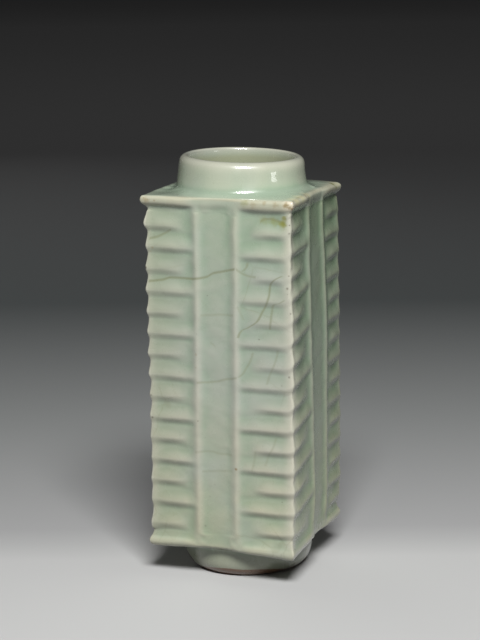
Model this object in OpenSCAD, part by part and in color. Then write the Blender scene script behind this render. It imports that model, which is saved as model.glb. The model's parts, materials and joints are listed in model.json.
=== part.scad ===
// Square vase of the cong form, built from slabs of clay: four press-moulded walls
// with ribbed columns stand between a base slab and a shoulder slab, coils of clay
// are pressed into the inside seams, and a thrown neck and foot are luted on.
// The front faces -Y, +Z is up and the origin is the middle of the foot's rest face.

/* [Walls] */
// Width across the rib crests of two opposite walls
body_w = 94.4; // [91:0.2:110]
// Number of tiers between the base's lip and the shoulder's lip
tiers = 8; // [4:1:10]
// Height of one tier, which holds a long and a short rib
tier_h = 26.9; // [22:0.1:34]
// Thickness of a wall behind its ribs
wall_t = 7; // [5:0.2:8.4]
// Radius that rounds the outside corners
corner_r = 4.4; // [2:0.2:6]

/* [Ribs] */
// How far the ribs and border bars stand out from a wall
relief = 1.5; // [0.8:0.1:2.2]
// Width of a rib where it leaves the wall
rib_w = 10; // [6:0.2:12]
// Distance between the middle lines of a wall's two border bars
band_w = 26.4; // [20:0.2:34]
// Width of a border bar where it leaves the wall
border_w = 4; // [3:0.2:6]
// Gap between the end of a short rib and its border bar
short_gap = 7; // [4:0.2:12]

/* [Shoulder and neck] */
// Thickness of the shoulder slab
shoulder_t = 5.2; // [4:0.2:8]
// How far the shoulder's lip stands out past the rib crests
shoulder_lip = 1.2; // [0.4:0.1:3]
// Height of the neck above the shoulder
neck_h = 20.6; // [14:0.2:40]
// Radius of the mouth's bore
mouth_r = 33.4; // [24:0.2:35]
// Thickness of the neck at its rim
rim_t = 4.7; // [3:0.1:6]
// How much wider the neck is at its root than at its rim
neck_flare = 1.8; // [0.4:0.1:3]
// Radius of the cove between the neck and the shoulder
neck_cove = 5; // [2:0.2:6]
// Thickness of the neck's spigot in the shoulder's hole
spigot_t = 3.2; // [2:0.1:4]

/* [Base and foot] */
// Thickness of the base slab at its lip
base_t = 5.2; // [4:0.2:8]
// How far the base's lip stands out past the rib crests
base_lip = 0.7; // [0.2:0.1:3]
// Height of the base slab's raised square inside the walls
tenon_h = 4; // [2:0.2:8]
// Depth of the round boss under the base slab, inside the foot
boss_h = 6; // [2:0.2:10]
// Height of the foot
foot_h = 19; // [14:0.2:30]
// Outer radius of the foot where it stands
foot_r = 35; // [26:0.2:38]
// How much wider the foot is under the base slab
foot_flare = 6; // [1:0.2:7]
// How far the side of the foot swells out from a straight taper
foot_bulge = 2.4; // [0.4:0.1:3]
// Width of the foot's rest face
foot_t = 7.4; // [4:0.2:10]

/* [Seams] */
// Size of the seam coils along each of the two faces they join
coil = 7; // [4:0.2:9]
// Thickness of a seam coil at its feathered edges
coil_edge = 0.8; // [0.4:0.1:1.5]
// Slip-filled gap round the spigot, the tenon and the boss
slip_gap = 0.15; // [0.05:0.05:0.4]

/* [Hidden] */
$fn = 96;
celadon = [0.66, 0.72, 0.61];
thin_glaze = [0.76, 0.77, 0.69];
foot_brown = [0.52, 0.47, 0.38];
// Half widths of the crests, the wall's ground between the ribs and the inside
crest_half = body_w / 2;
ground_half = crest_half - relief;
inside_half = ground_half - wall_t;
shoulder_half = crest_half + shoulder_lip;
base_half = crest_half + base_lip;
// Heights of the seams, from the foot up
wall_z = foot_h + base_t;
floor_z = wall_z + tenon_h;
base_crest_z = foot_h + base_t / 2;
wall_h = tiers * tier_h - base_t / 2 - shoulder_t / 2;
shoulder_z = wall_z + wall_h;
neck_z = shoulder_z + shoulder_t;
// Circles whose arcs give a rib and a border bar their width and height
rib_r = rib_w * rib_w / (8 * relief) + relief / 2;
border_r = border_w * border_w / (8 * relief) + relief / 2;
short_end = band_w / 2 + border_w / 2 + short_gap;
// Neck radii, and a cove that stays on the flat of the shoulder
rim_r = mouth_r + rim_t;
neck_r = rim_r + neck_flare;
spigot_r = mouth_r + spigot_t;
cove_r = min(neck_cove, shoulder_half - shoulder_t / 2 - neck_r);
cove_top = coil_edge + cove_r;
foot_bore_r = foot_r - foot_t;
// Arc through the foot's lower and upper edge that swells by foot_bulge
foot_chord = norm([foot_flare, foot_h]);
foot_arc_r = foot_chord * foot_chord / (8 * foot_bulge) + foot_bulge / 2;
foot_arc_x = foot_r + foot_flare / 2 - (foot_arc_r - foot_bulge) * foot_h / foot_chord;
foot_arc_z = foot_h / 2 + (foot_arc_r - foot_bulge) * foot_flare / foot_chord;
// Room that keeps rounding and cutting shapes clear of the faces they pass
room = 0.5;
reach = 2 * body_w;

// Square with rounded corners, just larger than the crests it rounds
module rounding_square(half) {
    side = 2 * (half + room);
    union() {
        square([side, side - 2 * corner_r], center = true);
        square([side - 2 * corner_r, side], center = true);
        for (x = [-1, 1], y = [-1, 1])
            translate([x, y] * (side / 2 - corner_r))
                circle(r = corner_r);
    }
}

// Quarter of the plan that belongs to the front, bounded by the two mitre planes
module front_quarter() {
    polygon([[0, 0], [-reach, -reach], [reach, -reach]]);
}

// Square slab with half-round edges and rounded corners, standing on z = 0
module lipped_slab(half, thick) {
    intersection() {
        translate([0, 0, thick / 2])
            rotate([90, 0, 0])
                linear_extrude(2 * half + 2 * room, center = true)
                    lip_section(half, thick);
        translate([0, 0, thick / 2])
            rotate([90, 0, 90])
                linear_extrude(2 * half + 2 * room, center = true)
                    lip_section(half, thick);
        translate([0, 0, -room])
            linear_extrude(thick + 2 * room)
                rounding_square(half);
    }
}

// Section across a slab whose two edges are half round
module lip_section(half, thick) {
    union() {
        square([2 * half - thick, thick], center = true);
        for (side = [-1, 1])
            translate([side * (half - thick / 2), 0])
                circle(d = thick);
    }
}

// Round bar along X whose outer side is a rib, from x = from to past the corner
module rib(from, z, ended) {
    start = ended ? from + rib_w / 2 : from;
    translate([start, rib_r - crest_half, z]) {
        rotate([0, 90, 0])
            cylinder(r = rib_r, h = crest_half + room - start);
        if (ended)
            sphere(r = rib_r);
    }
}

// All ribs of one column, alternating short and long from the base up
module rib_column() {
    for (i = [1 : 2 * tiers - 1]) {
        short = i % 2 == 1;
        rib(short ? short_end : band_w / 2, base_crest_z + i * tier_h / 2, short);
    }
}

// Two columns of ribs and the border bars that close them beside the middle band
module wall_relief() {
    for (side = [0, 1])
        mirror([side, 0, 0]) {
            rib_column();
            translate([band_w / 2, border_r - crest_half, wall_z - room])
                cylinder(r = border_r, h = wall_h + 2 * room);
        }
}

// One press-moulded wall, mitred at its sides, in its place at the front
module wall() {
    color(celadon)
        intersection() {
            translate([0, 0, wall_z])
                linear_extrude(wall_h)
                    difference() {
                        intersection() {
                            rounding_square(crest_half);
                            front_quarter();
                        }
                        square(2 * inside_half, center = true);
                    }
            union() {
                translate([-crest_half - room, -ground_half, wall_z - room])
                    cube([2 * (crest_half + room), ground_half, wall_h + 2 * room]);
                wall_relief();
            }
        }
}

// Hollow-faced section of a seam coil, with its corner at the origin
module coil_section() {
    difference() {
        square(coil);
        translate([coil, coil])
            circle(r = coil - coil_edge);
    }
}

// Coil pressed into the seam between the floor and the front wall, mitred at its ends
module floor_coil() {
    color(celadon)
        intersection() {
            translate([-inside_half, -inside_half, floor_z])
                rotate([90, 0, 90])
                    linear_extrude(2 * inside_half)
                        coil_section();
            translate([0, 0, floor_z - room])
                linear_extrude(coil + 2 * room)
                    front_quarter();
        }
}

// Coil pressed into the front right corner, from the floor coils to the shoulder
module corner_coil() {
    color(celadon)
        translate([inside_half, -inside_half, floor_z + coil])
            rotate([0, 0, 90])
                linear_extrude(shoulder_z - floor_z - coil)
                    coil_section();
}

// Base slab with its lip, the square tenon inside the walls and the boss in the foot
module base_slab() {
    tenon_half = inside_half - slip_gap;
    color(thin_glaze)
        union() {
            translate([0, 0, foot_h])
                lipped_slab(base_half, base_t);
            translate([-tenon_half, -tenon_half, foot_h + base_t / 2])
                cube([2 * tenon_half, 2 * tenon_half, base_t / 2 + tenon_h]);
            translate([0, 0, foot_h - boss_h])
                cylinder(r = foot_bore_r - slip_gap, h = boss_h + base_t / 2);
        }
}

// Thrown foot ring with a swelling side and a flat rest face
module foot_ring() {
    color(foot_brown)
        rotate_extrude()
            intersection() {
                translate([foot_bore_r, 0])
                    square([foot_t + foot_flare + foot_bulge, foot_h]);
                translate([foot_arc_x, foot_arc_z])
                    circle(r = foot_arc_r);
            }
}

// Shoulder slab with its lip and the hole for the neck's spigot
module shoulder_slab() {
    color(thin_glaze)
        translate([0, 0, shoulder_z])
            difference() {
                lipped_slab(shoulder_half, shoulder_t);
                translate([0, 0, -room])
                    cylinder(r = spigot_r + slip_gap, h = shoulder_t + 2 * room);
            }
}

// Thrown neck: spigot, coved root, tapering wall and rounded rim round a straight bore
module neck_ring() {
    rim_z = neck_h - rim_t / 2;
    color(celadon)
        translate([0, 0, neck_z])
            rotate_extrude()
                union() {
                    polygon([
                        [mouth_r, -shoulder_t],
                        [spigot_r, -shoulder_t],
                        [spigot_r, 0],
                        [neck_r, 0],
                        [neck_r, cove_top],
                        [rim_r, rim_z],
                        [mouth_r, rim_z]
                    ]);
                    translate([mouth_r + rim_t / 2, rim_z])
                        circle(d = rim_t);
                    difference() {
                        translate([spigot_r, 0])
                            square([neck_r + cove_r - spigot_r, cove_top]);
                        translate([neck_r + cove_r, cove_top])
                            circle(r = cove_r);
                    }
                }
}

foot_ring();
base_slab();
wall();  // front_wall
rotate(90) wall();  // right_wall
rotate(180) wall();  // back_wall
rotate(270) wall();  // left_wall
floor_coil();  // floor_coil_front
rotate(90) floor_coil();  // floor_coil_right
rotate(180) floor_coil();  // floor_coil_back
rotate(270) floor_coil();  // floor_coil_left
corner_coil();  // corner_coil_front_right
rotate(90) corner_coil();  // corner_coil_back_right
rotate(180) corner_coil();  // corner_coil_back_left
rotate(270) corner_coil();  // corner_coil_front_left
shoulder_slab();
neck_ring();
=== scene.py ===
# %% [markdown]
# # A square celadon vase of the cong form
# The vase is slab-built stoneware: four moulded walls between a base slab and a shoulder
# slab, with a thrown neck and foot. One skin of glaze covers them all. So the skin is
# modelled as one soft surface first, and then cut at the real seams into the pieces of
# the frame, which meet without a visible line, as they do under the glaze.

# %% Load the frame
import json
import math

import bmesh
import bpy
import numpy as np
from mathutils import Matrix, Vector

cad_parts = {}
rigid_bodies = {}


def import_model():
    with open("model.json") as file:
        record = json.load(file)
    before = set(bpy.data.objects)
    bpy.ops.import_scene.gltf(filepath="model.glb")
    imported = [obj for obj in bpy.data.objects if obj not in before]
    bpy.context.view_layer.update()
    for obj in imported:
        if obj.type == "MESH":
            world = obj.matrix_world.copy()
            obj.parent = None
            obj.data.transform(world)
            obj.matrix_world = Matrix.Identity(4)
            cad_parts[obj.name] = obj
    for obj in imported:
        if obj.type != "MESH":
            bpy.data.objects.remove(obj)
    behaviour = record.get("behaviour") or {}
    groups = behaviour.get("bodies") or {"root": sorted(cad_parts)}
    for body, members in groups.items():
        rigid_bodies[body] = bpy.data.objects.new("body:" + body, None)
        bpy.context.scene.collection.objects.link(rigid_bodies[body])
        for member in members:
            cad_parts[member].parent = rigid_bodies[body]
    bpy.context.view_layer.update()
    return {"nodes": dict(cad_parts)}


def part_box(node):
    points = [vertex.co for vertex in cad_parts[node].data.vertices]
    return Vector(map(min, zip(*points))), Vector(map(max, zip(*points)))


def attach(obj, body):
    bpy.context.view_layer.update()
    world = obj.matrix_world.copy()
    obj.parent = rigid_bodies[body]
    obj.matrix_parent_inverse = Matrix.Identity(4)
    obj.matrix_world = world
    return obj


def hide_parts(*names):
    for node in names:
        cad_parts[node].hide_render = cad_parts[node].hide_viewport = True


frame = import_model()
MM = 0.001
print("nodes", sorted(frame["nodes"]))

# %% [markdown]
# ## Sizes
# The heights and widths of the clay pieces come from the frame, so the skin lies where
# the pieces are. What the frame doesn't tell, such as how the ribs are spaced, is written
# here in millimetres, as the maker of the mould would give it.

# %% Read the sizes
wall_low, wall_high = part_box("front_wall")
base_low, base_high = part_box("base_slab")
foot_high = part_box("foot_ring")[1]
shoulder_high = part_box("shoulder_slab")[1]
neck_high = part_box("neck_ring")[1]

RELIEF = 1.5 * MM
INSIDE = -wall_high[1]
CREST = -wall_low[1]
GROUND = CREST - RELIEF
SHOULDER_LIP = shoulder_high[0]
BASE_LIP = base_high[0]
BASE_Z = foot_high[2]
WALL_Z = wall_low[2]
SHOULDER_Z = wall_high[2]
FLOOR_Z = base_high[2]
RECESS_Z = base_low[2]
NECK_Z = shoulder_high[2]
RIM_Z = neck_high[2]
TIERS = 8
BASE_CREST_Z = (BASE_Z + WALL_Z) / 2
SHOULDER_CREST_Z = (SHOULDER_Z + NECK_Z) / 2
RIB_STEP = (SHOULDER_CREST_Z - BASE_CREST_Z) / (2 * TIERS)
rib_heights = [BASE_CREST_Z + i * RIB_STEP for i in range(1, 2 * TIERS)]
print("rib step", round(RIB_STEP / MM, 2), "mm, ground at", round(GROUND / MM, 2), "mm")


# %% [markdown]
# ## One wall
# A wall of the real vase is a slab of clay pressed into a mould. It has a plain middle
# band between two border bars, and two columns of ribs that run round the corners. Every
# other rib is short and stops before its border bar. It could be sculpted, but its
# pattern is regular, so a plane is cut into strips by bisects, and the strips of the ribs
# and bars are pulled out. A subdivision surface rounds them later, as thick glaze does.

# %% Cut a plane into strips
def deselect_all():
    if bpy.context.object and bpy.context.object.mode != "OBJECT":
        bpy.ops.object.mode_set(mode="OBJECT")
    bpy.ops.object.select_all(action="DESELECT")


def choose(obj):
    deselect_all()
    obj.select_set(True)
    bpy.context.view_layer.objects.active = obj


def edit(obj):
    choose(obj)
    bpy.ops.object.mode_set(mode="EDIT")
    bpy.ops.mesh.select_mode(type="VERT")


def edit_all(obj):
    edit(obj)
    bpy.ops.mesh.select_all(action="SELECT")


def cut_sheet(place, across):
    bpy.ops.mesh.select_all(action="SELECT")
    bpy.ops.mesh.bisect(plane_co=place, plane_no=across)


# The sheet ends this far beyond the first and the last rib
SHEET_LOW = rib_heights[0] - 6.2 * MM
SHEET_HIGH = rib_heights[-1] + 7.4 * MM
# Distances of the vertical cuts from the middle of the band, in millimetres
SIDE_CUTS = (5.5, 8.7, 11.0, 13.2, 15.2, 17.6, 21.0, 24.5, 30.5, 37.0, 41.2, 43.8)
# Heights of the cuts round a rib's crest, and the share of the relief each is pulled out
RIB_CUTS = ((6.6, -0.15), (4.2, 0.1), (1.6, 0.62), (-0.8, 1.12), (-2.5, 0.92), (-5.1, -0.2))

deselect_all()
bpy.ops.mesh.primitive_plane_add(
    size=1, location=(0, -GROUND, (SHEET_LOW + SHEET_HIGH) / 2), rotation=(math.pi / 2, 0, 0)
)
wall_sheet = bpy.context.object
wall_sheet.name = "wall_sheet"
wall_sheet.scale = (2 * GROUND, SHEET_HIGH - SHEET_LOW, 1)
bpy.ops.object.transform_apply(location=True, rotation=True, scale=True)
edit(wall_sheet)
cut_sheet((0, 0, 0), (1, 0, 0))
for cut in SIDE_CUTS:
    for side in (-1, 1):
        cut_sheet((side * cut * MM, 0, 0), (1, 0, 0))
for height in rib_heights:
    for offset, _ in RIB_CUTS:
        cut_sheet((0, 0, height + offset * MM), (0, 0, 1))
print("wall sheet faces", len(bmesh.from_edit_mesh(wall_sheet.data).faces))


# %% Pull out the ribs and border bars
NEAR = 0.05 * MM
# Shares of the relief across the wall: the plain band is a shallow dish between its bars,
# and each bar has a round crest and a long slope towards the ribs
BAND_AND_BAR = (
    (0.0, 0.1), (5.5, 0.14), (8.7, 0.26), (11.0, 0.72),
    (13.2, 1.3), (15.2, 0.85), (17.6, 0.22), (21.0, 0.02),
)
# Ribs start on the bar's slope. These are shares of a rib's height near its inner end.
RIBS_FROM = 15.2
LONG_END = {15.2: 0.15, 17.6: 0.6, 21.0: 0.92}
SHORT_END = {15.2: 0, 17.6: 0, 21.0: 0, 24.5: 0.4, 30.5: 0.92}


def pick(obj, test):
    shape = bmesh.from_edit_mesh(obj.data)
    for vertex in shape.verts:
        vertex.select_set(test(vertex.co))
    shape.select_flush_mode()
    bmesh.update_edit_mesh(obj.data)
    return sum(v.select for v in shape.verts)


MITRE = GROUND / MM


def pull_out(cut, share, test):
    """Pulls vertices on a cut out of the wall, and those on a mitre out along its diagonal."""
    for side in (-1, 1) if cut == MITRE else (0,):
        def on_cut(co):
            return abs(abs(co.x) - cut * MM) < NEAR and co.x * side >= 0 and test(co)

        if pick(wall_sheet, on_cut):
            bpy.ops.transform.translate(value=(side * share * RELIEF, -share * RELIEF, 0))


def inside_sheet(co):
    return SHEET_LOW + NEAR < co.z < SHEET_HIGH - NEAR


for cut, share in BAND_AND_BAR:
    pull_out(cut, share, inside_sheet)
for rib_end, heights in ((SHORT_END, rib_heights[0::2]), (LONG_END, rib_heights[1::2])):
    for offset, share in RIB_CUTS:
        def on_ribs(co):
            return any(abs(co.z - height - offset * MM) < NEAR for height in heights)

        for cut in (*SIDE_CUTS, MITRE):
            if cut >= RIBS_FROM and rib_end.get(cut, 1):
                pull_out(cut, share * rib_end.get(cut, 1), on_ribs)
deselect_all()
print("ribs on a wall", 2 * len(rib_heights))

# %% [markdown]
# ## Four walls round a square
# The potter presses the same mould four times. So the sheet is copied, each copy is
# turned by a quarter about the vase's axis, and the four are joined. Their mitred edges
# lie on each other, so merging close vertices closes the corners.

# %% Join four walls
sheets = [wall_sheet]
for turn in range(1, 4):
    sheet = wall_sheet.copy()
    sheet.data = wall_sheet.data.copy()
    bpy.context.collection.objects.link(sheet)
    sheet.data.transform(Matrix.Rotation(turn * math.pi / 2, 4, "Z"))
    sheets.append(sheet)
deselect_all()
for sheet in sheets:
    sheet.select_set(True)
bpy.context.view_layer.objects.active = wall_sheet
bpy.ops.object.join()
skin = bpy.context.object
skin.name = "skin"
edit_all(skin)
bpy.ops.mesh.remove_doubles(threshold=NEAR)
print("vertices round the walls", pick(skin, lambda co: co.z > SHEET_HIGH - NEAR))


# %% [markdown]
# ## Lips, shoulder, neck and foot
# Above and below the walls the vase turns from square to round. The open edge of the
# walls is extruded ring by ring, and each new ring is scaled to its size. To Sphere then
# rounds a square ring into a circle, which keeps one vertex above the other from the foot
# to the mouth, so the surface has no poles and no seam of its own.

# %% Extrude rings
def ring_reach(obj):
    shape = bmesh.from_edit_mesh(obj.data)
    return min(math.hypot(v.co.x, v.co.y) for v in shape.verts if v.select)


def extrude_up(rise):
    bpy.ops.mesh.extrude_edges_move(TRANSFORM_OT_translate={"value": (0, 0, rise)})


def fit_ring(obj, reach):
    factor = reach * MM / ring_reach(obj)
    bpy.ops.transform.resize(value=(factor, factor, 1), center_override=(0, 0, 0))


def round_ring(obj, share, reach):
    bpy.ops.transform.tosphere(value=share)
    fit_ring(obj, reach)


def extrude_rings(obj, rings):
    """Extrudes the selected ring through pairs of nearest reach and height, in millimetres.

    A third number rounds a square ring by that share."""
    for reach, height, *rounding in rings:
        shape = bmesh.from_edit_mesh(obj.data)
        extrude_up(height * MM - next(v.co.z for v in shape.verts if v.select))
        fit_ring(obj, reach)
        for share in rounding:
            round_ring(obj, share, reach)


# Reaches and heights in millimetres
ground, lip = GROUND / MM, SHOULDER_LIP / MM
top = NECK_Z / MM
rim = RIM_Z / MM
seam_up = SHOULDER_Z / MM - 2.1
neck_foot = neck_high[0] / MM - 0.6
mouth = 33.4
pick(skin, lambda co: co.z > SHEET_HIGH - NEAR)
extrude_rings(skin, [
    # Out to the lip and up its edge
    (ground + 0.2, seam_up), (ground + 0.8, seam_up + 1.2), (lip - 0.8, seam_up + 2.1),
    (lip + 0.1, seam_up + 3.3), (lip + 0.3, seam_up + 5), (lip + 0.1, top - 1.1),
    # Over the shoulder, which turns round
    (lip - 1, top + 0.1), (lip - 2.6, top + 0.3), (lip - 3.4, top + 0.5, 0.55), (neck_foot, top + 0.9, 1),
    # Up the neck's cove and taper
    (neck_foot - 2.4, top + 1.5), (neck_foot - 3.8, top + 3.1), (mouth + 6.6, top + 5),
    (mouth + 6.12, top + 8.6), (mouth + 5.7, top + 12.2), (mouth + 5.39, rim - 5.2),
    # Over the rim
    (mouth + 5.16, rim - 3.1), (mouth + 4.2, rim - 1.1), (mouth + 2, rim + 0.25),
    (mouth + 0.2, rim + 0.1), (mouth - 0.5, rim - 0.5), (mouth - 0.75, rim - 3.8),
    # Down the mouth
    (mouth - 0.3, rim - 7), (mouth, top + 8), (mouth, top + 3), (mouth, SHOULDER_Z / MM + 0.6),
    (mouth, SHOULDER_Z / MM),
])
print("rim at", rim, "mm")

# %% Extrude the base and the foot
base = BASE_LIP / MM
under = BASE_Z / MM
seam_down = WALL_Z / MM + 1.0
foot_top = foot_high[0] / MM
rest = 34.4
bore = 27.6
pick(skin, lambda co: co.z < SHEET_LOW + NEAR)
extrude_rings(skin, [
    # Out to the lip and down its edge
    (ground + 0.2, seam_down + 2.2), (ground + 0.9, seam_down), (base - 0.2, seam_down - 1.3),
    (base + 0.2, seam_down - 2.8), (base - 0.4, under + 1.6), (base - 1.8, under + 0.2),
    # Under the base, which turns round
    (base - 3.2, under - 0.2), (base - 4, under - 0.2, 0.55), (foot_top + 2.4, under - 0.2, 1),
    # Down the foot's side
    (foot_top + 1, under - 0.5), (foot_top + 0.1, under - 1.6), (foot_top - 0.1, under - 4),
    (foot_top - 0.4, 11.5), (foot_top - 1, 8), (foot_top - 1.8, 5.6), (rest + 3.7, 3), (rest + 1.9, 1.3),
    # Across the rest face and up the bore
    (rest + 0.5, 0.25), (rest - 0.7, 0), (rest - 3.2, 0), (bore + 0.9, 0), (bore, 0.7), (bore, 5),
    (bore, RECESS_Z / MM), (bore, under - 0.5),
])
deselect_all()
print("skin cage faces", len(skin.data.polygons))

# %% [markdown]
# ## Name the pieces of the skin
# Each face of the cage is given to the clay piece it lies on. A material slot for each
# piece is a handy label: it survives the subdivision, and Blender can later separate the
# mesh by it. The seams lie where the slabs meet: at the corners, under the shoulder's
# lip, above the base's lip, and round the roots of the neck and the foot.

# %% Label the faces
WALLS = ("front_wall", "right_wall", "back_wall", "left_wall")
PIECES = ("neck", "shoulder", *WALLS, "base", "foot")


def piece_at(place):
    x, y, z = place.x / MM, place.y / MM, place.z / MM
    if z < under - 0.5:
        return "foot"
    if z < seam_down:
        return "base"
    if z > seam_up:
        return "neck" if math.hypot(x, y) < neck_foot - 0.05 else "shoulder"
    if abs(y) > abs(x):
        return "front_wall" if y < 0 else "back_wall"
    return "right_wall" if x > 0 else "left_wall"


for name in PIECES:
    skin.data.materials.append(bpy.data.materials.new("label_" + name))
for face in skin.data.polygons:
    face.material_index = PIECES.index(piece_at(face.center))
print({name: sum(f.material_index == i for f in skin.data.polygons) for i, name in enumerate(PIECES)})

# %% [markdown]
# ## What the potter's hands did
# On the real vase the band and its bars run straight through both lips, the lower edge
# rises a little between the corners, and the corners are filled, most on the right. The
# one nearest the viewer is rounded too. Some bars lean, and the ribs beside them sit lower
# or tilt. These are small moves of the cage's vertices, so they're made in code, each as a
# function of where a vertex lies.


# %% Ease a move in and out
def eased(value, low, high):
    """Goes smoothly from 0 to 1 while a length goes from low to high, in millimetres."""
    share = min(1, max(0, (value / MM - low) / (high - low)))
    return share * share * (3 - 2 * share)


def within(value, start, full, fading, end):
    """1 from full to fading, and 0 before start and after end, in millimetres."""
    return eased(value, start, full) * (1 - eased(value, fading, end))


print("a quarter of the way an easing is at", eased(2.5 * MM, 0, 10))


# %% Carry the band through the lips and fill the corners
def at_corner(co):
    return abs(abs(co.x) - abs(co.y)) < NEAR


def out_axis(co):
    """The axis that points out of a vertex's wall: 0 for x, 1 for y."""
    return int(abs(co.y) >= abs(co.x))


def out_and_along(co):
    """How far a vertex lies out from the vase's axis, and how far along its wall."""
    axis = out_axis(co)
    return abs(co[axis]), abs(co[1 - axis])


def move_out(co, distance):
    """Moves a vertex out of its wall, or in where the distance is negative."""
    for axis in (0, 1) if at_corner(co) else (out_axis(co),):
        co[axis] += distance * math.copysign(1, co[axis])


BAR_INNER = 11.0


def wall_level(along):
    """How far out the band and its bars lie, with the dish between them."""
    if along > BAR_INNER * MM:
        return CREST
    return GROUND + (0.1 + 0.5 * eased(along, 2, BAR_INNER)) * RELIEF


def set_place(co, out, along):
    axis = out_axis(co)
    co[axis] = math.copysign(out, co[axis])
    co[1 - axis] = math.copysign(along, co[1 - axis])


EDGE_OUT = (base + 0.2) * MM
BAND_RISE = 0.55


def carry_band(co, out, along):
    """Carries the band and its bars through the lips above and below the wall."""
    sheet_along = along * GROUND / out
    on_band = 1 - eased(sheet_along, 14.3, 19.3)
    level = wall_level(sheet_along)
    if co.z > SHEET_HIGH - NEAR:
        rise = eased(co.z, SHEET_HIGH / MM, SHOULDER_CREST_Z / MM)
        goal = level + BAND_RISE * rise * (SHOULDER_LIP - level)
    elif co.z > (under + 0.5) * MM:
        goal = level
    else:
        goal = out + level - EDGE_OUT
    set_place(co, out + on_band * (goal - out), along + on_band * (sheet_along - along))


# How far along the wall each cut of a filled corner starts, and its share of the filling
CORNER_FILL = ((44.5 * MM, 0.9), (42.5 * MM, 0.75), (40.0 * MM, 0.35))


def fill_corner(co, out, along):
    """Fills the valleys between the ribs beside a corner, most on the right."""
    share = next((share for start, share in CORNER_FILL if along > start), 0)
    if co.x > 0 and co.y < 0:
        share *= 0.55 + 0.35 * eased(co.z, 120, 200)
    elif co.x > 0:
        share *= 0.85
    elif co.y < 0:
        share *= 0.75 - 0.4 * eased(co.z, 85, 140)
    else:
        share *= 0.35
    move_out(co, share * max(0, CREST - out))


print("the band's middle lies", round((CREST - wall_level(0)) / MM, 2), "mm below its bars")

# %% Settle the front, the right wall and the sides
COLUMN_DROP, LEFT_LIFT = 2.9 * MM, 1.5 * MM
BAR_SHIFT, BAR_LEAN, LEFT_BAR_LEAN = 1.0 * MM, 1.9 * MM, 0.9 * MM


def lift_left(co, on_front):
    """Lifts the lower ribs of the left-hand column, round their corner too."""
    column = eased(-co.x, 5, 12) if on_front else 1 - eased(co.y, -30, 0)
    co.z += LEFT_LIFT * column * within(co.z, 26, 50, 95, 185)


def settle_front(co):
    """Leans both bars to the left and lets the ribs beside the right-hand one sit lower."""
    bar = within(co.x, 3, 9, 17, 24)
    left_bar = within(-co.x, 3, 9, 17, 24)
    column = within(co.x, 5, 12, 43, 46.5)
    below_lip = 1 - eased(co.z, rib_heights[-1] / MM + 3, SHOULDER_CREST_Z / MM + 1)
    co.x -= (BAR_SHIFT + BAR_LEAN * (1 - co.z / RIM_Z)) * bar
    co.x -= LEFT_BAR_LEAN * left_bar * (1 - eased(co.z, 60, 200))
    co.z -= COLUMN_DROP * column * below_lip * eased(co.z, 35, 150)


RIB_TILT = 4.8 * MM
TILT_WIDTH = 33 * MM
NEAR_BAR_LEAN, FAR_BAR_LEAN = 5.0 * MM, 3.2 * MM


def settle_right(co):
    """Leans both bars of the right wall backwards and tilts the ribs of its near column."""
    near_bar = within(co.y, -32, -18, -6, 6)
    far_bar = within(co.y, -4, 8, 20, 36)
    across = min(1, max(0, (co.y + GROUND) / TILT_WIDTH)) * (1 - eased(co.y, -12, 0))
    less_above = 1 - 0.75 * eased(co.z, 150, 215)
    tilt = RIB_TILT * across * within(co.z, 26, 45, 222, 234) * less_above
    co.y += NEAR_BAR_LEAN * near_bar * (1 - eased(co.z, 30, 170))
    co.y += FAR_BAR_LEAN * far_bar * (1 - eased(co.z, 185, 215))
    co.z += tilt


RIGHT_SWELL, LEFT_HOLLOW = 1.4 * MM, 1.6 * MM


def settle_sides(co):
    """Lets the lower walls swell to the right and draw in on the left."""
    low_down = within(co.z, 18, 50, 130, 235)
    at_left = 1 - eased(co.x, -45, -25)
    draw_in = 1 + 0.2 * eased(co.z, 50, 80) - 0.6 * eased(co.z, 95, 160) + 0.25 * eased(co.z, 198, 212)
    draw_in *= within(co.z, 22, 42, 230, 236)
    co.x += RIGHT_SWELL * low_down * eased(co.x, 25, 45) + LEFT_HOLLOW * draw_in * at_left


WORN_LOW, WORN_MIDDLE, WORN_HIGH = 0.05, 0.3, 0.12


def wear_ribs(co, out, along):
    """Flattens the ribs of the front a little, most at mid height."""
    worn = WORN_LOW + (WORN_MIDDLE - WORN_LOW) * eased(co.z, 85, 140)
    worn += (WORN_HIGH - WORN_MIDDLE) * eased(co.z, 185, 215)
    move_out(co, -worn * within(along, 16, 21, 42, 45) * (out - GROUND - 0.4 * RELIEF))


print("ribs of the front's right column sit", COLUMN_DROP / MM, "mm lower")

# %% Warp the edges of the base and the shoulder
FRONT_RISE, SIDE_RISE = 1.3 * MM, 1.0 * MM
LEFT_DROOP, RIGHT_DROOP = 0.9 * MM, 1.6 * MM


def hang_base_edge(co, along, on_front):
    """Lets the base's lower edge hang at the corners and rise between them."""
    low = 1 - eased(co.z, under + 1, seam_down + 2.8)
    between = 1 - eased(along, 15, 42)
    co.z += (FRONT_RISE if on_front else SIDE_RISE) * between * low
    co.z -= (LEFT_DROOP + (RIGHT_DROOP - LEFT_DROOP) * eased(co.x, -30, 45)) * low


LEFT_LIP_RISE, BACK_LIP_DROP, FRONT_LIP_SAG = 1.0 * MM, 0.9 * MM, 0.4 * MM
NEAR_LIP_OUT = 1.3 * MM


def warp_lip(co):
    """Raises the shoulder's left edge, hangs its right corners and presses the near one out."""
    left = (1 - eased(co.x, -47, -30)) * eased(co.y, -46, -24)
    far_right = eased(co.x, 30, 47) * eased(co.y, 22, 47)
    near_right = eased(co.x, 12, 32) * (1 - eased(co.y, -46, -43))
    near_right *= 1 - eased(co.z, seam_up + 2.5, seam_up + 5.5)
    co.z += LEFT_LIP_RISE * left - BACK_LIP_DROP * far_right - FRONT_LIP_SAG * near_right
    co.x += NEAR_LIP_OUT * eased(co.x, 36, 47) * (1 - eased(co.y, -44, -8))


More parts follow.
